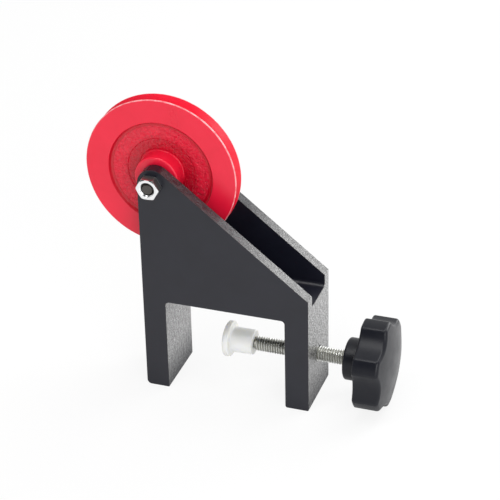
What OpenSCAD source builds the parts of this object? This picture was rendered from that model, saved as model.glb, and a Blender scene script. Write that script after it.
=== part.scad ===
// Bench-clamp pulley for demonstrations: a grooved wheel on two small ball
// bearings, held in a forked clamp frame with a knob-driven clamp screw.
// Millimetres. +Z is up and the frame stands on its two jaws. The origin is on
// the ground under the axle, in the middle plane of the wheel. The front is -Y.

/* [Frame] */
// Depth of the frame, front face to rear face
frame_depth = 26; // [22:0.5:34]
// Length of the frame along X
frame_length = 66.3; // [60:0.5:80]
// Thickness of the fixed jaw, under the axle
fixed_jaw = 9.2; // [7:0.2:14]
// Thickness of the jaw that carries the screw
screw_jaw = 9.45; // [7:0.2:14]
// Height of the opening between the jaws
jaw_height = 38.7; // [32:0.5:46]
// Height of the corner where the sloping top begins
shoulder_height = 48.7; // [47:0.5:58]
// Height of the axle above the ground
axle_height = 88.7; // [84:0.5:110]
// Radius of the rounded head of the fork walls
head_radius = 6.2; // [5:0.1:9]
// How far the head's centre lies from the axle, towards the knob
head_offset = 0.7; // [0:0.1:1]
// Width of the slot that the wheel runs in
slot_width = 16.3; // [14:0.1:20]
// Thickness of the bridge under the slot
bridge = 5.3; // [4:0.1:8]
// Radius in the two bottom corners of the slot
slot_fillet = 1.6; // [0.5:0.1:3]
// Radius in the two top corners of the jaw opening
jaw_fillet = 1.4; // [0.5:0.1:3]
// Radius on the outer bottom corner of the fixed jaw
toe_radius = 1.8; // [0.5:0.1:4]
// Radius on the outer bottom corner of the jaw that carries the screw
screw_toe_radius = 0.5; // [0.2:0.1:4]

/* [Pulley wheel] */
// Diameter of the wheel
wheel_diameter = 60; // [46:1:72]
// Width of the rim
rim_width = 6.4; // [5:0.1:9]
// Width of the cord groove at the rim
groove_width = 4.8; // [3:0.1:6]
// Width of the cord groove at its bottom
groove_bottom = 1.2; // [0.6:0.1:2]
// Depth of the cord groove
groove_depth = 3.6; // [2:0.1:5]
// Radius of the dished face at its outer edge
dish_radius = 20.9; // [19:0.1:22.4]
// Radius where the dish reaches the web
web_radius = 18.6; // [16:0.1:19.4]
// Thickness of the outer web
web_thickness = 3.6; // [3:0.1:4.8]
// Radius of the inner, thinner web
pocket_radius = 13.8; // [11:0.1:15]
// Thickness of the inner web
pocket_web = 2.6; // [2:0.1:2.9]
// Radius of the hub
hub_radius = 8.6; // [7.8:0.1:10]
// Gap between each end of the hub and the frame
hub_gap = 0.6; // [0.4:0.05:0.9]

/* [Ball bearings] */
// Bore of a bearing
bearing_bore = 5; // [4:0.5:6]
// Outside diameter of a bearing
bearing_outside = 13; // [12.6:0.1:14]
// Width of a bearing
bearing_width = 4; // [3.6:0.1:4.4]
// Diameter of a ball
ball_diameter = 2; // [1.6:0.1:2.1]
// Number of balls in a bearing
ball_count = 8; // [6:1:8]
// Height of each ring's shoulder beside its groove
ring_shoulder = 0.3; // [0.2:0.05:0.4]
// Thickness of a shield
shield_thickness = 0.2; // [0.15:0.05:0.3]
// How far a shield lies inside the face of its bearing
shield_inset = 0.15; // [0.1:0.05:0.25]
// Wall of the cage between the rings
cage_wall = 0.6; // [0.4:0.1:0.8]
// Width of the cage along the axle
cage_width = 2.6; // [2.4:0.1:2.6]

/* [Axle] */
// Diameter of the axle bolt
axle_diameter = 4.96; // [4.9:0.01:4.98]
// Pitch of the axle bolt's thread
axle_pitch = 0.8; // [0.5:0.1:1]
// Width across the flats of the bolt head and the nut
axle_flats = 8; // [7:0.5:10]
// Height of the bolt head
axle_head = 3.5; // [2.5:0.1:5]
// Height of the nut
nut_height = 4; // [3:0.1:5]
// Diameter of the wall spacers and of the spacer between the bearings
spacer_diameter = 7; // [6.4:0.1:7.2]
// Thickness of the spacer between each bearing and the frame
wall_spacer_thickness = 1.15; // [1:0.05:1.6]

/* [Clamp screw] */
// Diameter of the clamp screw
screw_diameter = 6; // [5:0.5:8]
// Pitch of the clamp screw
screw_pitch = 1; // [0.8:0.05:1.25]
// Length of screw that shows between the jaw and the knob
screw_reach = 11.5; // [6:0.5:20]
// Depth of each thread groove, as a part of the pitch
thread_depth = 0.61; // [0.4:0.01:0.65]
// Diameter of the plain neck inside the pressure foot
neck_diameter = 4; // [3.4:0.1:4.4]
// Diameter of the button at the end of the neck
button_diameter = 5.6; // [5:0.1:6]
// Thickness of the button
button_thickness = 1.6; // [1:0.1:2.5]

/* [Pressure foot] */
// Gap between the pressure foot and the fixed jaw as shown
jaw_gap = 19.8; // [15:0.2:24]
// Length of the pressure foot
foot_length = 11.6; // [9:0.2:14]
// Diameter of the pressing flange
flange_diameter = 14; // [11:0.2:18]
// Thickness of the pressing flange
flange_thickness = 2.5; // [2:0.1:4]
// Diameter of the sleeve over the end of the screw
sleeve_diameter = 9.8; // [8.8:0.1:10.6]
// Thickness of material between the button and the pressing face
foot_wall = 2.2; // [1.5:0.1:3]

/* [Knob] */
// Diameter of the knob over its lobes
knob_diameter = 37; // [32:0.2:44]
// Gap under the lowest lobe, between the knob and the ground
knob_ground_gap = 0.1; // [0:0.1:4]
// Number of lobes
knob_lobes = 6; // [5:1:8]
// Depth of the hollows between the lobes
hollow_depth = 2.8; // [1.5:0.1:4]
// Radius of each hollow
hollow_radius = 13; // [6:0.5:16]
// Thickness of the knob at its edge
knob_edge = 10.7; // [8:0.1:14]
// Height of the dome on the outer face
knob_dome = 2; // [1:0.1:4]
// Rounding of the knob's edges
knob_rounding = 1.5; // [0.5:0.1:2.5]
// Diameter of the collar behind the lobes
collar_diameter = 16.5; // [13:0.1:20]
// Length of the collar
collar_length = 6.35; // [4:0.05:9]
// Turn of the lobes away from straight down, in degrees
knob_turn = 4.8; // [0:0.2:60]
// Diameter of the metal insert in the knob
insert_diameter = 9; // [8.6:0.1:11]
// Length of the metal insert
insert_length = 13; // [9:0.5:14]
// Thickness of the closed end of the metal insert
insert_floor = 1.5; // [1:0.1:2.5]
// Depth of the grip groove round the insert
insert_groove = 0.4; // [0.2:0.1:0.8]

/* [Fits] */
// Radial clearance of a part that turns in a hole
running_fit = 0.05; // [0.02:0.01:0.1]
// Radial clearance of a part that is fixed in its seat
seat_fit = 0.01; // [0.005:0.005:0.02]
// Radial clearance of the axle bolt in the frame
bolt_clearance = 0.12; // [0.05:0.01:0.3]
// Gap between parts that pass each other
side_clearance = 0.3; // [0.2:0.05:0.5]

/* [Hidden] */
$fn = 96;

// A cut runs this far past the face that it goes through
past = 1;
// Flat at the crest and at the root of a thread, as a part of the pitch
thread_flat = 0.125;

// Frame, seen from the front
frame_left = head_offset - head_radius;
frame_right = frame_left + frame_length;
fixed_face = frame_left + fixed_jaw;
screw_face = frame_right - screw_jaw;
slot_floor = jaw_height + bridge;

// The sloping top runs from the shoulder to touch the rounded head
slope_rise = axle_height - shoulder_height;
slope_run = frame_right - head_offset;
slope_angle = atan2(slope_rise, slope_run)
    + asin(head_radius / norm([slope_run, slope_rise]));
head_touch = [
    head_offset + head_radius * sin(slope_angle),
    axle_height + head_radius * cos(slope_angle)
];

// Wheel and bearings, measured from the middle plane of the wheel
wheel_radius = wheel_diameter / 2;
bearing_face = slot_width / 2 - wall_spacer_thickness;
bearing_centre = bearing_face - bearing_width / 2;
hub_shoulder = bearing_face - bearing_width;
hub_face = slot_width / 2 - hub_gap;
ball_radius = ball_diameter / 2;
pitch_radius = (bearing_bore + bearing_outside) / 4;
groove_radius = ball_radius + running_fit;
inner_ring_radius = pitch_radius - ball_radius + ring_shoulder;
outer_ring_radius = pitch_radius + ball_radius - ring_shoulder;
shield_seat = outer_ring_radius + ring_shoulder + running_fit;
shield_bore = inner_ring_radius + side_clearance * 2 / 3;

// Axle bolt, from the rear face of the frame to the outer face of the nut
axle_radius = axle_diameter / 2;
axle_grip = frame_depth + nut_height;
axle_thread = nut_height + frame_depth / 2 - slot_width / 2;
hex_corner = axle_flats / cos(30);

// Clamp screw, along X
screw_radius = screw_diameter / 2;
screw_root = screw_radius - thread_depth * screw_pitch;
foot_face = fixed_face + jaw_gap;
foot_end = foot_face + foot_length;
collar_face = frame_right + screw_reach;
button_face = foot_face + foot_wall;
thread_start = foot_end + side_clearance;
screw_end = collar_face + insert_length - insert_floor;
knob_radius = knob_diameter / 2;
screw_height = knob_radius + knob_ground_gap;
dome_steps = 8;

// Points of a straight thread, as ridges of one pitch from start to end
function ridges(radius, pitch, depth, start, count) = [
    for (turn = [0:count - 1], corner = [0:3])
        let (z = start + turn * pitch, root = radius - depth * pitch)
        corner == 0 ? [root, z + thread_flat * pitch]
        : corner == 1 ? [radius, z + pitch * (0.5 - thread_flat / 2)]
        : corner == 2 ? [radius, z + pitch * (0.5 + thread_flat / 2)]
        : [root, z + pitch * (1 - thread_flat)]
];

// Points of a quarter circle from one angle to another
function arc(centre, radius, from, to, steps = 6) = [
    for (i = [0:steps])
        let (angle = from + (to - from) * i / steps)
        centre + radius * [cos(angle), sin(angle)]
];

// Local +Z turns to the front, -Y
module facing_front() {
    rotate([90, 0, 0]) children();
}

// Local +Z turns to +X, at the height of the clamp screw
module along_screw(x) {
    translate([x, 0, screw_height]) rotate([0, 90, 0]) children();
}

// Turns a piece end for end along local Z where side is -1
module flipped(side) {
    mirror([0, 0, side < 0 ? 1 : 0]) children();
}

// Places a piece on the axle, side 1 for the front and -1 for the rear
module on_axle(side = 1) {
    translate([0, 0, axle_height]) facing_front() flipped(side) children();
}

// A washer or tube that stands on z = low
module ring(outer, inner, low, high) {
    translate([0, 0, low]) difference() {
        cylinder(r = outer, h = high - low);
        translate([0, 0, -past]) cylinder(r = inner, h = high - low + 2 * past);
    }
}

// What a rounded outer corner loses, with the corner at the origin
module corner_loss(radius) {
    difference() {
        translate([-past, -past]) square(radius + past);
        translate([radius, radius]) circle(r = radius);
    }
}

// What a rounded inner corner gains, with the corner at the origin
module corner_gain(radius) {
    difference() {
        square(radius);
        translate([radius, radius]) circle(r = radius);
    }
}

// A hexagon with both ends chamfered, corners along local X
module hexagon_block(height) {
    chamfer = (hex_corner - axle_flats) / 2 * tan(30);
    intersection() {
        cylinder(d = hex_corner, h = height, $fn = 6);
        rotate_extrude() polygon([
            [0, 0], [axle_flats / 2, 0], [hex_corner / 2, chamfer],
            [hex_corner / 2, height - chamfer], [axle_flats / 2, height], [0, height]
        ]);
    }
}

module side_outline() {
    difference() {
        union() {
            translate([head_offset, axle_height]) circle(r = head_radius);
            polygon([
                [frame_left, 0], [fixed_face, 0], [fixed_face, jaw_height],
                [screw_face, jaw_height], [screw_face, 0], [frame_right, 0],
                [frame_right, shoulder_height], head_touch,
                [head_offset, axle_height], [frame_left, axle_height]
            ]);
            translate([fixed_face, jaw_height]) mirror([0, 1]) corner_gain(jaw_fillet);
            translate([screw_face, jaw_height]) rotate(180) corner_gain(jaw_fillet);
        }
        translate([frame_left, 0]) corner_loss(toe_radius);
        translate([frame_right, 0]) mirror([1, 0]) corner_loss(screw_toe_radius);
    }
}

// The slot as it is seen along X, open upwards
module slot_outline() {
    slot_top = axle_height + head_radius + past;
    difference() {
        translate([-slot_width / 2, slot_floor]) square([slot_width, slot_top - slot_floor]);
        translate([-slot_width / 2, slot_floor]) corner_gain(slot_fillet);
        translate([slot_width / 2, slot_floor]) mirror([1, 0]) corner_gain(slot_fillet);
    }
}

module clamp_frame() {
    color("#2b2b2e") difference() {
        facing_front() linear_extrude(frame_depth, center = true) side_outline();
        translate([frame_left - past, 0, 0]) rotate([90, 0, 90])
            linear_extrude(frame_length + 2 * past) slot_outline();
        on_axle() cylinder(
            r = axle_radius + bolt_clearance, h = frame_depth + 2 * past, center = true
        );
        along_screw(screw_face - past) cylinder(
            r = screw_radius + running_fit, h = screw_jaw + 2 * past
        );
    }
}

module axle_bolt() {
    turns = floor(axle_thread / axle_pitch) - 1;
    thread_end = axle_grip - axle_pitch;
    color("#39393b") on_axle() translate([0, 0, -frame_depth / 2]) {
        mirror([0, 0, 1]) hexagon_block(axle_head);
        rotate_extrude() polygon(concat(
            [[0, 0], [axle_radius, 0], [axle_radius, thread_end - turns * axle_pitch]],
            ridges(axle_radius, axle_pitch, thread_depth, thread_end - turns * axle_pitch, turns),
            [[axle_radius, thread_end], [axle_radius - axle_pitch, axle_grip], [0, axle_grip]]
        ));
    }
}

module axle_nut() {
    color("#dfe1e4") on_axle() translate([0, 0, frame_depth / 2]) difference() {
        hexagon_block(nut_height);
        translate([0, 0, -past])
            cylinder(r = axle_radius + seat_fit, h = nut_height + 2 * past);
    }
}

module wall_spacer(side) {
    color("#c9ccd0") on_axle(side) ring(
        spacer_diameter / 2, bearing_bore / 2, bearing_face, slot_width / 2
    );
}

module front_wall_spacer() {
    wall_spacer(1);
}

module rear_wall_spacer() {
    wall_spacer(-1);
}

module bearing_spacer() {
    color("#c9ccd0") on_axle() ring(
        spacer_diameter / 2, bearing_bore / 2, -hub_shoulder, hub_shoulder
    );
}

// The groove that the balls run in, centred on the bearing
module ball_groove() {
    rotate_extrude() translate([pitch_radius, 0]) circle(r = groove_radius);
}

module inner_ring(side) {
    color("#b9bcc1") on_axle(side) translate([0, 0, bearing_centre]) difference() {
        ring(inner_ring_radius, bearing_bore / 2, -bearing_width / 2, bearing_width / 2);
        ball_groove();
    }
}

module front_inner_ring() {
    inner_ring(1);
}

module rear_inner_ring() {
    inner_ring(-1);
}

module outer_ring(side) {
    seat_depth = shield_inset + shield_thickness;
    color("#b9bcc1") on_axle(side) translate([0, 0, bearing_centre]) difference() {
        ring(
            bearing_outside / 2 - seat_fit, outer_ring_radius,
            -bearing_width / 2, bearing_width / 2
        );
        ball_groove();
        for (face = [-1, 1]) flipped(face)
            translate([0, 0, bearing_width / 2 - seat_depth])
                cylinder(r = shield_seat, h = seat_depth + past);
    }
}

module front_outer_ring() {
    outer_ring(1);
}

module rear_outer_ring() {
    outer_ring(-1);
}

// Side says which bearing; face says its outer face, 1, or its inner face, -1
module shield(side, face) {
    high = bearing_width / 2 - shield_inset;
    color("#a9acb1") on_axle(side) translate([0, 0, bearing_centre]) flipped(face)
        ring(shield_seat - seat_fit, shield_bore, high - shield_thickness, high);
}

module front_outside_shield() {
    shield(1, 1);
}

module front_inside_shield() {
    shield(1, -1);
}

module rear_inside_shield() {
    shield(-1, -1);
}

module rear_outside_shield() {
    shield(-1, 1);
}

// Repeats its children at each ball of a bearing
module at_balls(side) {
    on_axle(side) translate([0, 0, bearing_centre])
        for (i = [0:ball_count - 1]) rotate(360 * i / ball_count)
            translate([pitch_radius, 0, 0]) children();
}

module balls(side) {
    color("#e4e6e8") at_balls(side) sphere(r = ball_radius);
}

module front_balls() {
    balls(1);
}

module rear_balls() {
    balls(-1);
}

module cage(side) {
    color("#b8924a") difference() {
        on_axle(side) translate([0, 0, bearing_centre]) ring(
            pitch_radius + cage_wall / 2, pitch_radius - cage_wall / 2,
            -cage_width / 2, cage_width / 2
        );
        at_balls(side) rotate([0, 90, 0])
            cylinder(r = ball_radius + running_fit, h = 2 * cage_wall, center = true);
    }
}

module front_cage() {
    cage(1);
}

module rear_cage() {
    cage(-1);
}

// Points of the wheel's section on one side of its middle plane, from the
// groove over the rim, the dish and the web to the end of the hub
function wheel_side() =
    let (
        half_rim = rim_width / 2,
        edge = (rim_width - groove_width) / 4,
        hub_edge = 2 * edge
    )
    concat(
        [
            [wheel_radius - groove_depth, groove_bottom / 2],
            [wheel_radius - edge, groove_width / 2]
        ],
        arc([wheel_radius - edge, half_rim - edge], edge, 0, 90),
        [
            [dish_radius, half_rim], [web_radius, web_thickness / 2],
            [pocket_radius, web_thickness / 2], [pocket_radius - edge, pocket_web / 2],
            [hub_radius + edge, pocket_web / 2], [hub_radius, pocket_web / 2 + edge]
        ],
        arc([hub_radius - hub_edge, hub_face - hub_edge], hub_edge, 0, 90),
        [[0, hub_face]]
    );

module pulley_wheel() {
    shoulder_bore = spacer_diameter / 2 + side_clearance * 2;
    color("#e0263c") on_axle() difference() {
        rotate_extrude() polygon(concat(
            wheel_side(),
            [for (i = [len(wheel_side()) - 1:-1:0]) [wheel_side()[i].x, -wheel_side()[i].y]]
        ));
        cylinder(r = shoulder_bore, h = 2 * (hub_face + past), center = true);
        for (side = [-1, 1]) flipped(side) translate([0, 0, hub_shoulder])
            cylinder(r = bearing_outside / 2, h = hub_face + past);
    }
}

// Cavity of the pressure foot, from the button to the open end
module foot_cavity() {
    translate([0, 0, foot_wall - side_clearance]) cylinder(
        r = button_diameter / 2 + side_clearance, h = button_thickness + 2 * side_clearance
    );
    translate([0, 0, foot_wall + button_thickness])
        cylinder(r = neck_diameter / 2 + running_fit, h = foot_length);
}

module pressure_foot() {
    edge = flange_thickness / 4;
    flange_radius = flange_diameter / 2;
    sleeve_radius = sleeve_diameter / 2;
    color("#e9e8de") along_screw(foot_face) difference() {
        rotate_extrude() polygon(concat(
            [[0, 0]],
            arc([flange_radius - edge, edge], edge, -90, 0),
            arc([flange_radius - edge, flange_thickness - edge], edge, 0, 90),
            [[sleeve_radius + edge, flange_thickness], [sleeve_radius, flange_thickness + edge]],
            arc([sleeve_radius - edge, foot_length - edge], edge, 0, 90),
            [[0, foot_length]]
        ));
        foot_cavity();
    }
}

module clamp_screw() {
    neck_end = thread_start - button_face;
    screw_length = screw_end - button_face;
    turns = floor((screw_length - neck_end) / screw_pitch) - 1;
    color("#b4b6b8") along_screw(button_face) rotate_extrude() polygon(concat(
        [
            [0, 0], [button_diameter / 2, 0], [button_diameter / 2, button_thickness],
            [neck_diameter / 2, button_thickness], [neck_diameter / 2, neck_end]
        ],
        ridges(screw_radius, screw_pitch, thread_depth, neck_end, turns),
        [
            [screw_root, screw_length - screw_pitch / 2],
            [screw_root - screw_pitch / 2, screw_length], [0, screw_length]
        ]
    ));
}

// Outside of the metal insert, with a clearance for its seat in the knob
module insert_shape(clearance) {
    radius = insert_diameter / 2 + clearance;
    middle = insert_length / 2;
    waist = insert_length / 4;
    rotate_extrude() polygon([
        [0, -clearance], [radius, -clearance], [radius, middle - waist / 2 - clearance],
        [radius - insert_groove, middle - waist / 2 + insert_groove],
        [radius - insert_groove, middle + waist / 2 - insert_groove],
        [radius, middle + waist / 2 + clearance],
        [radius, insert_length + clearance], [0, insert_length + clearance]
    ]);
}

module knob_insert() {
    color("#c8a24c") along_screw(collar_face) difference() {
        insert_shape(0);
        translate([0, 0, -past])
            cylinder(r = screw_radius + seat_fit, h = insert_length - insert_floor + past);
    }
}

// Section of the knob before the hollows are cut, from its back to its dome
module knob_outline() {
    collar_radius = collar_diameter / 2;
    small = knob_rounding / 2;
    back = collar_length;
    front = collar_length + knob_edge;
    rim = knob_radius - knob_rounding;
    polygon(concat(
        [[0, 0]],
        arc([collar_radius - small, small], small, -90, 0),
        [[collar_radius, back]],
        arc([rim, back + knob_rounding], knob_rounding, -90, 0),
        arc([rim, front - knob_rounding], knob_rounding, 0, 60),
        [for (step = [1:dome_steps]) let (out = 1 - step / dome_steps) [
            rim * out,
            front - knob_rounding * (1 - sin(60)) + knob_dome * (1 - out * out)
        ]]
    ));
}

module knob() {
    hollow_centre = knob_radius - hollow_depth + hollow_radius;
    color("#2a2a2c") along_screw(collar_face) difference() {
        rotate_extrude() knob_outline();
        for (i = [0:knob_lobes - 1]) rotate(knob_turn + 360 / knob_lobes * (i + 0.5))
            translate([hollow_centre, 0, collar_length - knob_rounding])
                cylinder(r = hollow_radius, h = knob_edge + knob_dome + 2 * knob_rounding);
        insert_shape(seat_fit);
    }
}

clamp_frame();
axle_bolt();
axle_nut();
front_wall_spacer();
rear_wall_spacer();
bearing_spacer();
front_inner_ring();
rear_inner_ring();
pulley_wheel();
front_outer_ring();
rear_outer_ring();
front_outside_shield();
front_inside_shield();
rear_inside_shield();
rear_outside_shield();
front_balls();
front_cage();
rear_balls();
rear_cage();
pressure_foot();
clamp_screw();
knob_insert();
knob();
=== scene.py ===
"""A bench-clamp pulley: mesh pieces, procedural materials, soft studio light and camera."""
import math

import bmesh
import bpy
from mathutils import Matrix, Vector


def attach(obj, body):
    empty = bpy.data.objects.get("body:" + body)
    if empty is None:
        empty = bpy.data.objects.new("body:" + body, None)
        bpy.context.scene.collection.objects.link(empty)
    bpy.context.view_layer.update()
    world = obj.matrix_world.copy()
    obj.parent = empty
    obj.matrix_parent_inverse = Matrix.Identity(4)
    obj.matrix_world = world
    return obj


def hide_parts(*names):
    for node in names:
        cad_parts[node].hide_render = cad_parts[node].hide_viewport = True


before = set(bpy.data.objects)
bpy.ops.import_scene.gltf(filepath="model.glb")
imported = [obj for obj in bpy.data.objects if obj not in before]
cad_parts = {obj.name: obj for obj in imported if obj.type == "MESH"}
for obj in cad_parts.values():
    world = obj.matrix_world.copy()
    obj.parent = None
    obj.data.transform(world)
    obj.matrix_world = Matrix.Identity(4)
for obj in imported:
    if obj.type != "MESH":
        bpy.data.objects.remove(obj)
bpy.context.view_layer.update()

MM = 0.001
TAU = 2 * math.pi

# Sizes in millimetres, in the frame's own axes: +X to the knob, -Y front, +Z up
AXLE_Z = 88.7
HEAD_X = 0.7
HEAD_RADIUS = 6.2
HEAD_TOUCH = math.radians(51.43)
FRAME_LEFT = -5.5
FIXED_FACE = 3.7
SCREW_FACE = 51.35
FRAME_RIGHT = 60.8
JAW_ROOF = 38.7
SHOULDER_Z = 48.7
SLOT_FLOOR = 44.0
SLOT_HALF = 8.15
FRAME_HALF = 13.0
BOLT_HOLE = 2.6
SCREW_HOLE = 3.05
FRAME_BEVEL = 0.35

WHEEL_RADIUS = 30.0
GROOVE_RADIUS = 26.4
RIM_HALF = 3.2
DISH_RADIUS = 20.9
HUB_RADIUS = 8.6
HUB_HALF = 7.55
LIP_RADIUS = 5.4
LIP_BACK = 7.15
SEAT_RADIUS = 6.5
SEAT_BOTTOM = 3.0

BOLT_RADIUS = 2.48
BOLT_PITCH = 0.8
BOLT_THREAD_DEPTH = 0.488
BOLT_HEAD = 3.5
FLATS = 8.0
FACE_RADIUS = 3.85
NUT_HEIGHT = 4.0
NUT_BORE = 2.49
NUT_SINK = 2.95
THREAD_STEPS = 72

SCREW_Z = 18.6
SCREW_RADIUS = 3.0
SCREW_PITCH = 1.0
SCREW_THREAD_DEPTH = 0.61
THREAD_X = 35.4
SCREW_END = 83.0
BUTTON_X = 25.7
BUTTON_RADIUS = 2.8
BUTTON_LENGTH = 1.6
NECK_RADIUS = 2.0

FOOT_X = 23.5
FLANGE_RADIUS = 7.0
SLEEVE_RADIUS = 4.9
FOOT_LENGTH = 11.6
FOOT_BORE = 2.05
CHAMBER_RADIUS = 3.1

COLLAR_X = 72.3
COLLAR_LENGTH = 6.35
COLLAR_RADIUS = 8.25
KNOB_RADIUS = 18.5
KNOB_HOLLOW = 2.8
KNOB_DEPTH = 10.7
KNOB_DOME = 1.99
KNOB_BORE = 4.52
KNOB_BORE_DEPTH = 13.02
LOBES = 6
LOBE_TURN = math.radians(4.8)

# Sizes of the set in metres
FLOOR_HALF = 6.0
FLAG_CORNERS = ((-2.2, -1.4, 0.35), (1.6, -1.4, 0.35), (1.6, -1.0, 2.4), (-2.2, -1.0, 2.4))
CAMERA_AT = (0.249567, -0.605722, 0.429373)


# ---------------------------------------------------------------- mesh helpers

def round_corner(before, corner, after, steps):
    """Points of the arc that rounds a corner (u, v, radius) between its neighbours."""
    c = Vector(corner[:2])
    a = (Vector(before[:2]) - c).normalized()
    b = (Vector(after[:2]) - c).normalized()
    half = a.angle(b) / 2
    reach = corner[2] / math.tan(half)
    centre = c + (a + b).normalized() * corner[2] / math.sin(half)
    start, end = c + a * reach - centre, c + b * reach - centre
    sweep = math.atan2(start.x * end.y - start.y * end.x, start.dot(end))
    out = []
    for k in range(steps + 1):
        t = sweep * k / steps
        out.append((centre.x + start.x * math.cos(t) - start.y * math.sin(t),
                    centre.y + start.x * math.sin(t) + start.y * math.cos(t)))
    return out


def fillet(points, steps=5):
    """Rounds the corners given as (u, v, radius) and keeps those given as (u, v)."""
    out = []
    for i, p in enumerate(points):
        if len(p) == 2:
            out.append(tuple(p))
        else:
            out.extend(round_corner(points[i - 1], p, points[(i + 1) % len(points)], steps))
    return out


def on_axle(r, angle, along):
    """A point about the axle. Along runs from the middle plane to the front."""
    return (r * math.cos(angle), -along, AXLE_Z + r * math.sin(angle))


def on_screw(r, angle, along):
    """A point about the clamp screw. The angle turns from straight down to the rear."""
    return (along, r * math.sin(angle), SCREW_Z - r * math.cos(angle))


def new_object(name, bm):
    """Makes an object of a bmesh, which it frees."""
    bmesh.ops.recalc_face_normals(bm, faces=bm.faces)
    mesh = bpy.data.meshes.new(name)
    bm.to_mesh(mesh)
    bm.free()
    obj = bpy.data.objects.new(name, mesh)
    bpy.context.scene.collection.objects.link(obj)
    return obj


def add_rings(bm, rings, closed=False):
    """Faces between rings of points in millimetres. A ring of one point is a pole."""
    made = [[bm.verts.new([c * MM for c in p]) for p in ring] for ring in rings]
    pairs = list(zip(made, made[1:]))
    if closed:
        pairs.append((made[-1], made[0]))
    for low, high in pairs:
        count = max(len(low), len(high))
        for i in range(count):
            j = (i + 1) % count
            if len(low) == 1:
                bm.faces.new((low[0], high[j], high[i]))
            elif len(high) == 1:
                bm.faces.new((low[i], low[j], high[0]))
            else:
                bm.faces.new((low[i], low[j], high[j], high[i]))


def turned_rings(profile, place, count):
    """Rings of a profile of (radius, along) turned about an axis."""
    rings = []
    for r, along in profile:
        if r < 1e-6:
            rings.append([place(0, 0, along)])
        else:
            rings.append([place(r, TAU * i / count, along) for i in range(count)])
    return rings


def lathe(name, profile, place, count=128, closed=False):
    """Turns a profile of (radius, along) about an axis."""
    bm = bmesh.new()
    add_rings(bm, turned_rings(profile, place, count), closed)
    return new_object(name, bm)


def prism(name, near, far):
    """Joins two outlines in millimetres, of as many points each, into a solid."""
    bm = bmesh.new()
    low, high = [[bm.verts.new([c * MM for c in p]) for p in ring] for ring in (near, far)]
    bm.faces.new(low)
    bm.faces.new(high[::-1])
    for i in range(len(low)):
        j = (i + 1) % len(low)
        bm.faces.new((low[i], low[j], high[j], high[i]))
    return new_object(name, bm)


def rod(radius, start, end, place):
    """A round bar that cuts a hole."""
    profile = [(0, start), (radius, start), (radius, end), (0, end)]
    return lathe("cutter", profile, place, 48)


def add_thread(bm, radius, pitch, depth, start, end, place, count):
    """A right-hand thread that fades to its root at both ends. Returns the root's radius."""
    root = radius - depth
    low, high = root + 0.06 * depth, radius - 0.04 * depth
    shape = [(0.0, root), (0.10, root), (0.16, low), (0.43, high),
             (0.47, radius), (0.55, radius), (0.59, high), (0.88, low)]
    made = []
    for turn in range(-1, int((end - start) / pitch) + 2):
        for part, r in shape:
            row = []
            for i in range(count):
                along = start + pitch * (turn + part + i / count)
                limit = root + max(0.0, min(along - start, end - along))
                at = place(min(r, limit), TAU * i / count, max(start, min(end, along)))
                row.append(bm.verts.new([c * MM for c in at]))
            made.append(row)
    step = len(shape)
    for m in range(len(made) - 1):
        for i in range(count - 1):
            bm.faces.new((made[m][i], made[m][i + 1], made[m + 1][i + 1], made[m + 1][i]))
        if m + 1 + step < len(made):
            bm.faces.new((made[m][-1], made[m + step][0], made[m + 1 + step][0], made[m + 1][-1]))
    return root


def finish(obj, angle):
    """Smooth shading, sharp above the angle, with normals that follow the large faces."""
    bm = bmesh.new()
    bm.from_mesh(obj.data)
    limit = math.radians(angle)
    for face in bm.faces:
        face.smooth = True
    for edge in bm.edges:
        edge.smooth = len(edge.link_faces) == 2 and edge.calc_face_angle() < limit
    bm.to_mesh(obj.data)
    bm.free()
    weigh = obj.modifiers.new("normals", "WEIGHTED_NORMAL")
    weigh.keep_sharp = True
    apply_modifiers(obj)


def apply_modifiers(obj):
    """Replaces the object's mesh by its mesh with modifiers."""
    depsgraph = bpy.context.evaluated_depsgraph_get()
    mesh = bpy.data.meshes.new_from_object(obj.evaluated_get(depsgraph))
    obj.modifiers.clear()
    obj.data = mesh


def dress(obj, material, body, node, angle=40):
    """Finishes a piece that rides on a body and takes the place of a CAD node."""
    finish(obj, angle)
    obj.data.materials.clear()
    obj.data.materials.append(material)
    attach(obj, body)
    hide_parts(node)


def cut_by(obj, cutter):
    """Cuts the cutter's shape out of the object and removes the cutter."""
    cut = obj.modifiers.new("cut", "BOOLEAN")
    cut.operation = "DIFFERENCE"
    cut.solver = "EXACT"
    cut.object = cutter
    apply_modifiers(obj)
    bpy.data.objects.remove(cutter)


# ---------------------------------------------------------------- materials

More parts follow.
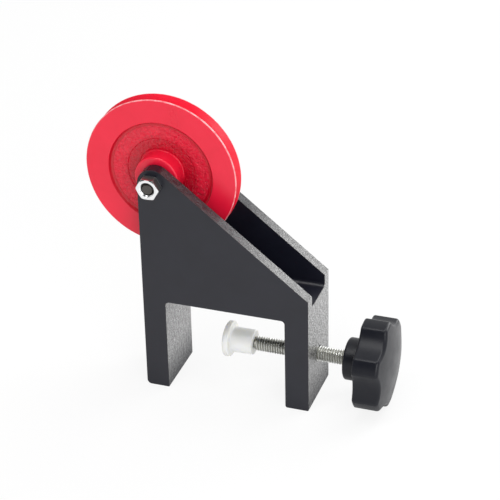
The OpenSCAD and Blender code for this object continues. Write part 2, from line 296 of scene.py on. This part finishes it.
class Look:
    """A material whose nodes are added by short calls."""

    def __init__(self, name, **constants):
        self.material = bpy.data.materials.new(name)
        self.material.use_nodes = True
        self.tree = self.material.node_tree
        self.shader = self.tree.nodes["Principled BSDF"]
        for key, value in constants.items():
            self.shader.inputs[key.replace("_", " ")].default_value = value
        self.coords = self.tree.nodes.new("ShaderNodeTexCoord")

    def node(self, kind, inputs=None, **settings):
        made = self.tree.nodes.new("ShaderNode" + kind)
        for key, value in settings.items():
            setattr(made, key, value)
        for key, value in (inputs or {}).items():
            if isinstance(value, bpy.types.NodeSocket):
                self.tree.links.new(value, made.inputs[key])
            else:
                made.inputs[key].default_value = value
        return made

    def noise(self, scale, detail=3.0, roughness=0.5, distortion=0.0):
        """Noise with features about 1 / scale metres wide."""
        made = self.node("TexNoise", {"Vector": self.coords.outputs["Object"], "Scale": scale,
                                      "Detail": detail, "Roughness": roughness,
                                      "Distortion": distortion})
        return made.outputs["Fac"]

    def math(self, operation, a, b=0.0):
        return self.node("Math", {0: a, 1: b}, operation=operation).outputs[0]

    def product(self, a, b):
        return self.math("MULTIPLY", a, b)

    def parts(self, coordinate):
        """The x, y and z of a texture coordinate."""
        return self.node("SeparateXYZ", {0: self.coords.outputs[coordinate]}).outputs

    def radius(self, across, height, centre):
        """Distance from an axis at the height of centre, which is in millimetres."""
        up = self.math("SUBTRACT", height, centre * MM)
        squares = self.math("ADD", self.product(up, up), self.product(across, across))
        return self.math("SQRT", squares)

    def ramp(self, value, low, high, start=0.0, end=1.0):
        """Maps low..high to start..end and holds the ends."""
        made = self.node("MapRange", {"Value": value, "From Min": low, "From Max": high,
                                      "To Min": start, "To Max": end})
        return made.outputs[0]

    def mix(self, factor, a, b):
        made = self.node("Mix", data_type="RGBA")
        self.join(factor, made.inputs[0])
        self.join(a, made.inputs[6])
        self.join(b, made.inputs[7])
        return made.outputs[2]

    def join(self, value, socket):
        if isinstance(value, bpy.types.NodeSocket):
            self.tree.links.new(value, socket)
        elif isinstance(value, (int, float)):
            socket.default_value = value
        else:
            socket.default_value = (*value, 1.0)

    def bump(self, height, distance, strength, under=None):
        inputs = {"Height": height, "Distance": distance, "Strength": strength}
        if under:
            inputs["Normal"] = under
        return self.node("Bump", inputs).outputs[0]

    def use(self, **links):
        """Links the shader's inputs and gives the material."""
        for key, value in links.items():
            self.tree.links.new(value, self.shader.inputs[key.replace("_", " ")])
        return self.material


def black_paint():
    """Black paint, smooth on most faces and mottled on the ends and slopes left as cast, where
    its lighter blotched colour is partly dust and partly painted sheen.

    The coat and the painted sheen fade at the toes and beside the wheel, as painted shade.
    """
    look = Look("black_paint", Coat_Roughness=0.06, Coat_IOR=2.3)
    height = look.parts("Object")[2]
    cast = look.ramp(look.math("ABSOLUTE", look.parts("Normal")[0]), 0.3, 0.55)
    # fades the coat and the painted sheen towards the toes and beside the wheel: painted shade
    ends = look.product(look.ramp(height, 2 * MM, 15 * MM, 0.12, 1.0),
                        look.ramp(height, 74 * MM, 60 * MM, 0.2, 1.0))
    coat_and_sheen_mask = look.product(cast, ends)
    blotch = look.noise(560, 5, 0.62)
    grain = look.noise(2100, 4, 0.65)
    cloud = look.ramp(look.noise(120, 3), 0.3, 0.7)
    smooth = look.mix(cloud, (0.0052, 0.0057, 0.0120), (0.0074, 0.0080, 0.0155))
    # lighter blotches for the cast faces: partly dust, partly painted sheen
    dust_and_sheen = look.mix(look.ramp(blotch, 0.4, 0.6), (0.03, 0.03, 0.031), (0.13, 0.13, 0.132))
    rough = look.math("SUBTRACT", look.ramp(grain, 0.3, 0.7, 0.34, 0.42),
                      look.product(cast, 0.06))
    peel = look.bump(look.noise(700, 2), 0.00005, 0.2)
    rugged = look.product(look.math("ADD", blotch, look.product(grain, 0.3)), cast)
    relief = look.bump(rugged, 0.0022, 0.8, peel)
    # the cast faces take the lighter colour, which is partly painted sheen, and the coat
    return look.use(Base_Color=look.mix(coat_and_sheen_mask, smooth, dust_and_sheen), Roughness=rough,
                    Normal=relief, Coat_Weight=coat_and_sheen_mask, Coat_Normal=relief)


def red_plastic():
    """Moulded red plastic: glossy flanges with a painted highlight on the rim's edge, and a
    crinkled web with painted shade in its step and towards the hub.
    """
    look = Look("red_plastic", Subsurface_Weight=0.05,
                Subsurface_Radius=(0.0012, 0.0003, 0.0003), Subsurface_Scale=1.0)
    x, y, z = look.parts("Object")
    radius = look.radius(x, z, AXLE_Z)
    across = look.math("ABSOLUTE", y)
    web = look.product(look.ramp(radius, 20.2 * MM, 18.8 * MM),
                       look.ramp(radius, HUB_RADIUS * MM, 9.6 * MM))
    # the step's wall, painted deep red all round: painted shade
    step = look.product(look.ramp(radius, 18.9 * MM, 19.3 * MM),
                        look.ramp(radius, 20.95 * MM, 20.75 * MM))
    # a pale pink line on the rim's outer edge, broken up by noise: painted highlight
    edge = look.product(look.ramp(radius, 29.62 * MM, 29.8 * MM),
                        look.ramp(across, 2.5 * MM, 2.75 * MM))
    cloud = look.noise(60, 3, 0.6, distortion=0.6)
    crinkle = look.noise(700, 3, 0.6, distortion=0.6)
    painted_rim_highlight = look.product(edge, look.ramp(look.noise(500, 3), 0.3, 0.6, 0.25, 0.8))
    flange = look.mix(look.ramp(cloud, 0.3, 0.7), (0.78, 0.007, 0.036), (0.86, 0.011, 0.046))
    # the web painted darker red towards the hub: painted shade, with a tone that follows the
    # crinkle
    hub_shade_and_crinkle = look.math("ADD", look.ramp(radius, 12.5 * MM, 15.5 * MM, 0.15, 0.75),
                     look.ramp(crinkle, 0.3, 0.7, -0.2, 0.3))
    shaded_web = look.mix(hub_shade_and_crinkle, (0.46, 0.002, 0.016), (0.82, 0.010, 0.042))
    # the web and flange, with the painted shade of the step mixed in
    body = look.mix(look.product(step, 0.9), look.mix(web, flange, shaded_web),
                    (0.54, 0.001, 0.014))
    rough = look.math("SUBTRACT", look.ramp(cloud, 0.3, 0.7, 0.27, 0.33),
                      look.product(web, 0.06))
    waves = look.bump(look.noise(260, 2), 0.00014, 0.3)
    relief = look.bump(look.product(crinkle, web), 0.0009, 0.8, waves)
    return look.use(Base_Color=look.mix(painted_rim_highlight, body, (0.95, 0.50, 0.52)), Roughness=rough,
                    Normal=relief)


def metal(name, colour, dark, rough):
    """Plated or bare metal with fine scratches and a little tarnish."""
    look = Look(name, Metallic=1.0)
    cloud = look.noise(220, 4, 0.6)
    fine = look.noise(1800, 4, 0.65)
    tint = look.mix(look.ramp(cloud, 0.42, 0.75), colour, dark)
    roughness = look.ramp(fine, 0.25, 0.75, rough, rough + 0.14)
    return look.use(Base_Color=tint, Roughness=roughness, Normal=look.bump(fine, 0.00002, 0.5))


def nut_metal():
    """Bright plating on the nut's faces; its six flats are rougher and painted dark grey, as
    painted shade.
    """
    look = Look("bright_plate", Metallic=1.0)
    middle = (FRAME_HALF + NUT_HEIGHT / 2) * MM
    inside = look.math("ABSOLUTE", look.math("ADD", look.parts("Object")[1], middle))
    # the six flats: rougher plating, and a dark grey colour that is painted shade
    flats = look.ramp(inside, 1.75 * MM, 1.3 * MM)
    cloud = look.noise(220, 4, 0.6)
    face = look.mix(look.ramp(cloud, 0.42, 0.75), (0.90, 0.91, 0.92), (0.80, 0.81, 0.82))
    rough = look.math("ADD", look.ramp(cloud, 0.25, 0.75, 0.16, 0.26),
                      look.product(flats, 0.25))
    fine = look.noise(1500, 3, 0.6)
    return look.use(Base_Color=look.mix(flats, face, (0.20, 0.20, 0.20)), Roughness=rough,
                    Normal=look.bump(fine, 0.00001, 0.4))


def screw_metal():
    """Zinc plated thread, with painted shade in its root."""
    look = Look("zinc_thread", Metallic=1.0)
    _, y, z = look.parts("Object")
    crest = look.ramp(look.radius(y, z, SCREW_Z), 2.45 * MM, 2.9 * MM)
    cloud = look.noise(900, 4, 0.6)
    crest_plate = look.mix(look.ramp(cloud, 0.4, 0.7), (0.90, 0.91, 0.90), (0.74, 0.74, 0.69))
    # the thread's root painted dark grey: painted shade
    colour = look.mix(crest, (0.36, 0.36, 0.325), crest_plate)
    rough = look.math("SUBTRACT", look.ramp(cloud, 0.3, 0.7, 0.40, 0.5),
                      look.product(crest, 0.16))
    relief = look.bump(look.noise(3000, 3), 0.00003, 0.5)
    return look.use(Base_Color=colour, Roughness=rough, Normal=relief)


def white_nylon():
    """Natural nylon, a little translucent, with a faint moulded mottle."""
    look = Look("white_nylon", Subsurface_Weight=0.6,
                Subsurface_Radius=(0.005, 0.0046, 0.0036), Subsurface_Scale=1.0)
    cloud = look.noise(320, 3, 0.6)
    fine = look.noise(2200, 3)
    colour = look.mix(look.ramp(cloud, 0.3, 0.7), (0.97, 0.965, 0.915), (0.93, 0.925, 0.86))
    rough = look.ramp(fine, 0.3, 0.7, 0.34, 0.46)
    return look.use(Base_Color=colour, Roughness=rough, Normal=look.bump(fine, 0.00003, 0.4))


def black_plastic():
    """Satin black moulded plastic with a fine eroded grain."""
    look = Look("black_plastic", IOR=1.34)
    cloud = look.noise(150, 3, 0.6)
    grain = look.noise(3800, 2, 0.6)
    colour = look.mix(look.ramp(cloud, 0.35, 0.7), (0.0072, 0.008, 0.0125),
                      (0.0100, 0.011, 0.0155))
    rough = look.ramp(cloud, 0.3, 0.7, 0.28, 0.38)
    return look.use(Base_Color=colour, Roughness=rough, Normal=look.bump(grain, 0.00003, 0.5))


PAINT = black_paint()
RED = red_plastic()
BRIGHT = nut_metal()
DARK = metal("dark_steel", (0.11, 0.105, 0.10), (0.07, 0.065, 0.06), 0.34)
ZINC = metal("zinc_plate", (0.64, 0.65, 0.65), (0.52, 0.52, 0.50), 0.28)
BEARING = metal("bearing_steel", (0.70, 0.71, 0.73), (0.62, 0.63, 0.65), 0.14)
BRASS = metal("cage_brass", (0.76, 0.57, 0.26), (0.60, 0.42, 0.17), 0.28)
THREAD = screw_metal()
NYLON = white_nylon()
BLACK = black_plastic()


# ---------------------------------------------------------------- pieces

def make_frame():
    """The casting: an outline as deep as the frame, with a fork slot and two holes cut."""
    head = []
    for k in range(25):
        angle = HEAD_TOUCH + (math.pi - HEAD_TOUCH) * k / 24
        head.append((HEAD_X + HEAD_RADIUS * math.cos(angle),
                     AXLE_Z + HEAD_RADIUS * math.sin(angle)))
    corners = [(FRAME_LEFT, 0, 1.8), (FIXED_FACE, 0, 0.3), (FIXED_FACE, JAW_ROOF, 1.4),
               (SCREW_FACE, JAW_ROOF, 1.4), (SCREW_FACE, 0, 0.9), (FRAME_RIGHT, 0, 0.7),
               (FRAME_RIGHT, SHOULDER_Z, 0.4)]
    outline = fillet(corners + head, 7)
    casting = prism("frame_casting", [(x, -FRAME_HALF, z) for x, z in outline],
                    [(x, FRAME_HALF, z) for x, z in outline])

    slot = fillet([(-SLOT_HALF, 100), (-SLOT_HALF, SLOT_FLOOR, 1.6),
                   (SLOT_HALF, SLOT_FLOOR, 1.6), (SLOT_HALF, 100)], 7)
    cut_by(casting, prism("cutter", [(-9, y, z) for y, z in slot], [(64, y, z) for y, z in slot]))
    cut_by(casting, rod(BOLT_HOLE, -16, 16, on_axle))
    cut_by(casting, rod(SCREW_HOLE, 47, 64, on_screw))
    bevel = casting.modifiers.new("edges", "BEVEL")
    bevel.width = FRAME_BEVEL * MM
    bevel.segments = 4
    bevel.limit_method = "ANGLE"
    bevel.angle_limit = math.radians(35)
    bevel.miter_outer = "MITER_ARC"
    apply_modifiers(casting)
    dress(casting, PAINT, "frame", "clamp_frame")


def make_wheel():
    """The wheel from its groove over the rim, web and hub to the bearing's seat, mirrored."""
    side = [(GROOVE_RADIUS, 0.6, 0.5), (29.75, 2.45, 0.15), (WHEEL_RADIUS, 2.55, 0.1),
            (WHEEL_RADIUS, RIM_HALF, 0.45), (DISH_RADIUS, RIM_HALF, 0.25), (20.1, 2.3, 0.4),
            (18.6, 1.9, 2.0), (13.8, 1.7, 0.3), (13.4, 1.35, 0.3), (HUB_RADIUS, 1.2, 0.5),
            (HUB_RADIUS, HUB_HALF, 0.6), (LIP_RADIUS, HUB_HALF, 0.2), (LIP_RADIUS, LIP_BACK),
            (SEAT_RADIUS, LIP_BACK), (SEAT_RADIUS, 7.0)]
    half = fillet([(GROOVE_RADIUS, -0.6)] + side)[1:]
    half += [(SEAT_RADIUS, SEAT_BOTTOM), (4.1, SEAT_BOTTOM)]
    whole = half + [(r, -along) for r, along in reversed(half)]
    wheel = lathe("wheel_moulding", whole, on_axle, 240, True)
    dress(wheel, RED, "pulley", "pulley_wheel", 50)


def hexagon_reach(angle, corner):
    """Distance from a hexagon's centre to its side, with its corners rounded off."""
    part = (angle + math.pi / 6) % (math.pi / 3) - math.pi / 6
    return min(FLATS / 2 / math.cos(math.pi / 6 - abs(part)), corner)


def hexagon_rings(rows, count=144):
    """Rows are (radius or None for the hexagon's side, along, chamfer direction)."""
    rings = []
    corner = FLATS / math.sqrt(3) - 0.08
    for r, along, chamfer in rows:
        ring = []
        for i in range(count):
            angle = TAU * i / count
            if r is None:
                reach = hexagon_reach(angle, corner)
                drop = (reach - (FLATS / 2 - 0.1)) * math.tan(math.pi / 6)
                ring.append(on_axle(reach, angle, along - chamfer * drop))
            else:
                ring.append(on_axle(r, angle, along))
        rings.append(ring)
    return rings


def make_nut():
    low, high = FRAME_HALF, FRAME_HALF + NUT_HEIGHT
    rows = [(NUT_BORE, low + 0.4, 0), (NUT_SINK, low, 0), (FACE_RADIUS, low, 0), (None, low, -1),
            (None, high, 1), (FACE_RADIUS, high, 0), (NUT_SINK, high, 0),
            (NUT_BORE, high - 0.45, 0)]
    bm = bmesh.new()
    add_rings(bm, hexagon_rings(rows), True)
    dress(new_object("hexagon_nut", bm), BRIGHT, "frame", "axle_nut", 25)


def make_bolt():
    """Head, plain shank through the fork, and a thread that starts at the front wall."""
    low, high = -FRAME_HALF - BOLT_HEAD, FRAME_HALF + NUT_HEIGHT
    thread_end = high - 0.5
    bm = bmesh.new()
    head = [(FACE_RADIUS, low, 0), (None, low, -1), (None, -FRAME_HALF, 1),
            (FACE_RADIUS, -FRAME_HALF, 0)]
    add_rings(bm, [[on_axle(0, 0, low)]] + hexagon_rings(head, THREAD_STEPS))
    shank = [(FACE_RADIUS, -FRAME_HALF), (BOLT_RADIUS, -FRAME_HALF), (BOLT_RADIUS, SLOT_HALF),
             (BOLT_RADIUS - BOLT_THREAD_DEPTH, SLOT_HALF)]
    add_rings(bm, turned_rings(shank, on_axle, THREAD_STEPS))
    root = add_thread(bm, BOLT_RADIUS, BOLT_PITCH, BOLT_THREAD_DEPTH, SLOT_HALF, thread_end,
                      on_axle, THREAD_STEPS)
    end = fillet([(root, thread_end), (root, high - 0.25, 0.12),
                  (root - 0.25, high - 0.12, 0.1), (0, high - 0.12)], 3)
    add_rings(bm, turned_rings(end, on_axle, THREAD_STEPS))
    bmesh.ops.remove_doubles(bm, verts=bm.verts, dist=1e-7)
    dress(new_object("axle_bolt_turned", bm), DARK, "frame", "axle_bolt", 30)


def make_screw():
    """The button inside the foot, a neck, and a thread that runs on into the knob."""
    back = BUTTON_X + BUTTON_LENGTH
    bm = bmesh.new()
    button = fillet([(0, BUTTON_X), (BUTTON_RADIUS, BUTTON_X, 0.25), (BUTTON_RADIUS, back, 0.25),
                     (NECK_RADIUS, back, 0.2), (NECK_RADIUS, THREAD_X),
                     (SCREW_RADIUS - SCREW_THREAD_DEPTH, THREAD_X)], 3)
    add_rings(bm, turned_rings(button, on_screw, THREAD_STEPS))
    root = add_thread(bm, SCREW_RADIUS, SCREW_PITCH, SCREW_THREAD_DEPTH, THREAD_X, SCREW_END,
                      on_screw, THREAD_STEPS)
    add_rings(bm, turned_rings([(root, SCREW_END), (0, SCREW_END)], on_screw, THREAD_STEPS))
    bmesh.ops.remove_doubles(bm, verts=bm.verts, dist=1e-7)
    dress(new_object("clamp_screw_threaded", bm), THREAD, "screw", "clamp_screw", 30)


def make_foot():
    """A pressing flange and a sleeve outside, and a chamber for the button inside."""
    x, end = FOOT_X, FOOT_X + FOOT_LENGTH
    outer = [(0, x), (6.2, x, 0.5), (FLANGE_RADIUS, x + 0.45, 0.4), (FLANGE_RADIUS, x + 2.5, 0.5),
             (SLEEVE_RADIUS, x + 2.7, 0.9), (SLEEVE_RADIUS, end, 0.5), (2.35, end, 0.25),
             (FOOT_BORE, x + 11.2, 0.1)]
    inner = [(FOOT_BORE, x + 4.1), (CHAMBER_RADIUS, x + 4.1), (CHAMBER_RADIUS, x + 1.9),
             (0, x + 1.9)]
    foot = lathe("pressure_foot_moulded", fillet(outer + inner), on_screw)
    dress(foot, NYLON, "foot", "pressure_foot", 50)


def half_lobe(count):
    """Points and outward normals from the middle of a lobe to the middle of a hollow."""
    corner, hollow = 2.0, 13.0
    centre = KNOB_RADIUS - KNOB_HOLLOW + hollow
    half = math.pi / LOBES
    near = KNOB_RADIUS - corner
    reach = hollow + corner
    split = math.acos((near * near + centre * centre - reach * reach) / (2 * near * centre))
    round_at = half - split
    corner_xy = (near * math.cos(round_at), near * math.sin(round_at))
    hollow_xy = (centre * math.cos(half), centre * math.sin(half))
    aim = math.atan2(hollow_xy[1] - corner_xy[1], hollow_xy[0] - corner_xy[0])
    side = []
    tip, flank = count // 8, count // 4
    valley = count // 2 - tip - flank
    for k in range(tip):
        a = round_at * k / tip
        n = (math.cos(a), math.sin(a))
        side.append(((KNOB_RADIUS * n[0], KNOB_RADIUS * n[1]), n))
    for k in range(flank):
        a = round_at + (aim - round_at) * k / flank
        n = (math.cos(a), math.sin(a))
        side.append(((corner_xy[0] + corner * n[0], corner_xy[1] + corner * n[1]), n))
    begin, stop = aim + math.pi, half + math.pi
    for k in range(valley + 1):
        a = begin + (stop - begin) * k / valley
        n = (-math.cos(a), -math.sin(a))
        side.append(((hollow_xy[0] - hollow * n[0], hollow_xy[1] - hollow * n[1]), n))
    return side


def knob_ring_points():
    """The whole outline as (point, normal) pairs, starting at a lobe's middle."""
    side = half_lobe(24)
    part = TAU / LOBES
    lobe = list(side)
    for (x, y), (nx, ny) in reversed(side[1:-1]):
        c, s = math.cos(part), math.sin(part)
        lobe.append(((x * c + y * s, x * s - y * c), (nx * c + ny * s, nx * s - ny * c)))
    out = []
    for k in range(LOBES):
        c, s = math.cos(part * k + LOBE_TURN), math.sin(part * k + LOBE_TURN)
        for (x, y), (nx, ny) in lobe:
            out.append(((x * c - y * s, x * s + y * c), (nx * c - ny * s, nx * s + ny * c)))
    return out


def make_knob():
    """Collar, rounded back edge, lobed side, rounded front edge and domed face."""
    outline = knob_ring_points()
    back_round, front_round = 0.9, 1.5
    rim = KNOB_RADIUS - front_round

    def ring(inset, height, share=1.0):
        """The outline moved in by inset; height is a number or a function of radius."""
        points = []
        for (x, y), (nx, ny) in outline:
            px, py = (x - inset * nx) * share, (y - inset * ny) * share
            along = height(math.hypot(px, py)) if callable(height) else height
            points.append((COLLAR_X + along, py, SCREW_Z - px))
        return points

    def face(r):
        return COLLAR_LENGTH + KNOB_DEPTH - 0.2 + KNOB_DOME * (1 - (r / rim) ** 2)

    def circle(r, along):
        """A circle with a point at the angle of each of the outline's points."""
        points = []
        for (x, y), _ in outline:
            d = math.hypot(x, y)
            points.append((COLLAR_X + along, r * y / d, SCREW_Z - r * x / d))
        return points

    collar = fillet([(KNOB_BORE, 0.3), (KNOB_BORE + 0.3, 0, 0.1), (COLLAR_RADIUS, 0, 0.9),
                     (COLLAR_RADIUS, COLLAR_LENGTH, 0.8), (12.0, COLLAR_LENGTH)])
    rings = [[(COLLAR_X + KNOB_BORE_DEPTH, 0, SCREW_Z)], circle(KNOB_BORE, KNOB_BORE_DEPTH)]
    rings += [circle(r, along) for r, along in collar]
    for k in range(6):
        t = math.pi / 2 * k / 5
        rings.append(ring(back_round * (1 - math.sin(t)),
                          COLLAR_LENGTH + back_round * (1 - math.cos(t))))
    for k in range(7):
        t = math.pi / 2 * k / 6
        inset, drop = front_round * (1 - math.cos(t)), front_round * (1 - math.sin(t))
        rings.append(ring(inset, lambda r: face(min(r + inset - front_round, rim)) - drop))
    for k in range(1, 13):
        rings.append(ring(front_round, face, 1 - k / 13))
    rings.append([(COLLAR_X + face(0), 0, SCREW_Z)])
    bm = bmesh.new()
    add_rings(bm, rings)
    dress(new_object("knob_lobed", bm), BLACK, "screw", "knob", 50)


make_frame()
make_wheel()
make_nut()
make_bolt()
make_screw()
make_foot()
make_knob()

for names, material in (
    (("front_wall_spacer", "rear_wall_spacer", "bearing_spacer"), ZINC),
    (("knob_insert", "front_cage", "rear_cage"), BRASS),
    (("front_inner_ring", "rear_inner_ring", "front_outer_ring", "rear_outer_ring",
      "front_outside_shield", "front_inside_shield", "rear_inside_shield",
      "rear_outside_shield", "front_balls", "rear_balls"), BEARING),
):
    for name in names:
        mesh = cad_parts[name].data
        mesh.materials.clear()
        mesh.materials.append(material)


# ---------------------------------------------------------------- floor, light and camera

def add_background(tree, shader, seen, mirrored):
    """A mix for white over a shader: one share for the camera, one for mirrors and glass."""
    path = tree.nodes.new("ShaderNodeLightPath")

    def combine(operation, a, b):
        made = tree.nodes.new("ShaderNodeMath")
        made.operation = operation
        for value, socket in ((a, made.inputs[0]), (b, made.inputs[1])):
            if isinstance(value, bpy.types.NodeSocket):
                tree.links.new(value, socket)
            else:
                socket.default_value = value
        return made.outputs[0]

    other = combine("MAXIMUM", path.outputs["Is Glossy Ray"], path.outputs["Is Transmission Ray"])
    share = combine("MAXIMUM", combine("MULTIPLY", path.outputs["Is Camera Ray"], seen),
                    combine("MULTIPLY", other, mirrored))
    mix = tree.nodes.new("ShaderNodeMixShader")
    tree.links.new(share, mix.inputs[0])
    tree.links.new(shader.outputs[0], mix.inputs[1])
    return mix


def make_floor():
    """A pale matt floor that looks almost white to the camera."""
    bm = bmesh.new()
    bm.faces.new([bm.verts.new((x * FLOOR_HALF, y * FLOOR_HALF, 0))
                  for x, y in ((-1, -1), (1, -1), (1, 1), (-1, 1))])
    floor = new_object("floor", bm)
    material = bpy.data.materials.new("pale_floor")
    material.use_nodes = True
    tree = material.node_tree
    tree.nodes.clear()
    matt = tree.nodes.new("ShaderNodeBsdfDiffuse")
    matt.inputs[0].default_value = (0.86, 0.86, 0.86, 1)
    glow = tree.nodes.new("ShaderNodeEmission")
    glow.inputs[1].default_value = 1.0
    mix = add_background(tree, matt, 0.85, 0.2)
    tree.links.new(glow.outputs[0], mix.inputs[2])
    out = tree.nodes.new("ShaderNodeOutputMaterial")
    tree.links.new(mix.outputs[0], out.inputs[0])
    floor.data.materials.append(material)


def make_world(level):
    """Soft light of a level from all round, which the camera sees as white."""
    world = bpy.data.worlds.new("studio")
    bpy.context.scene.world = world
    world.use_nodes = True
    tree = world.node_tree
    tree.nodes.clear()
    soft = tree.nodes.new("ShaderNodeBackground")
    soft.inputs[1].default_value = level
    white = tree.nodes.new("ShaderNodeBackground")
    white.inputs[0].default_value = (1, 1, 1, 1)
    mix = add_background(tree, soft, 1.0, 0.6)
    tree.links.new(white.outputs[0], mix.inputs[2])
    out = tree.nodes.new("ShaderNodeOutputWorld")
    tree.links.new(mix.outputs[0], out.inputs[0])


def make_flag():
    """A dark flag behind the camera, seen in glossy faces alone, for contrast in the plastic."""
    bm = bmesh.new()
    bm.faces.new([bm.verts.new(p) for p in FLAG_CORNERS])
    flag = new_object("flag", bm)
    material = bpy.data.materials.new("flag_cloth")
    material.use_nodes = True
    shader = material.node_tree.nodes["Principled BSDF"]
    shader.inputs["Base Color"].default_value = (0.02, 0.02, 0.02, 1)
    shader.inputs["Roughness"].default_value = 1.0
    flag.data.materials.append(material)
    flag.visible_camera = False
    flag.visible_diffuse = False
    flag.visible_shadow = False


def area_light(name, where, aim, size, watts):
    data = bpy.data.lights.new(name, "AREA")
    data.shape = "RECTANGLE"
    data.size, data.size_y = size
    data.energy = watts
    lamp = bpy.data.objects.new(name, data)
    bpy.context.scene.collection.objects.link(lamp)
    lamp.location = where
    lamp.rotation_euler = (Vector(aim) - Vector(where)).to_track_quat("-Z", "Y").to_euler()


def make_camera():
    """The photograph's view: turned right of the front, seen from above, with a slight roll."""
    turn, lift, roll = math.radians(19.609), math.radians(29.897), math.radians(-1.283)
    right = Vector((math.cos(turn), math.sin(turn), 0))
    level = math.cos(lift)
    view = Vector((-math.sin(turn) * level, math.cos(turn) * level, -math.sin(lift)))
    up = right.cross(view)
    side = right * math.cos(roll) + up * math.sin(roll)
    top = up * math.cos(roll) - right * math.sin(roll)
    data = bpy.data.cameras.new("camera")
    data.lens = 141.6
    data.sensor_width = 36
    data.clip_start, data.clip_end = 0.01, 50
    camera = bpy.data.objects.new("camera", data)
    bpy.context.scene.collection.objects.link(camera)
    place = Matrix((side, top, -view)).transposed().to_4x4()
    place.translation = Vector(CAMERA_AT)
    camera.matrix_world = place
    bpy.context.scene.camera = camera


make_floor()
make_world(0.62)
make_flag()
area_light("overhead", (0.10, -0.05, 1.0), (0.03, 0, 0.05), (1.5, 0.22), 6.0)
area_light("right_rear", (0.55, 0.85, 0.42), (0.05, 0, 0.04), (0.8, 0.5), 6.0)
area_light("front_fill", (0.65, -0.8, 0.5), (0.02, 0, 0.05), (0.6, 0.6), 4.8)
make_camera()
bpy.context.scene.view_settings.view_transform = "Standard"

bpy.context.view_layer.update()
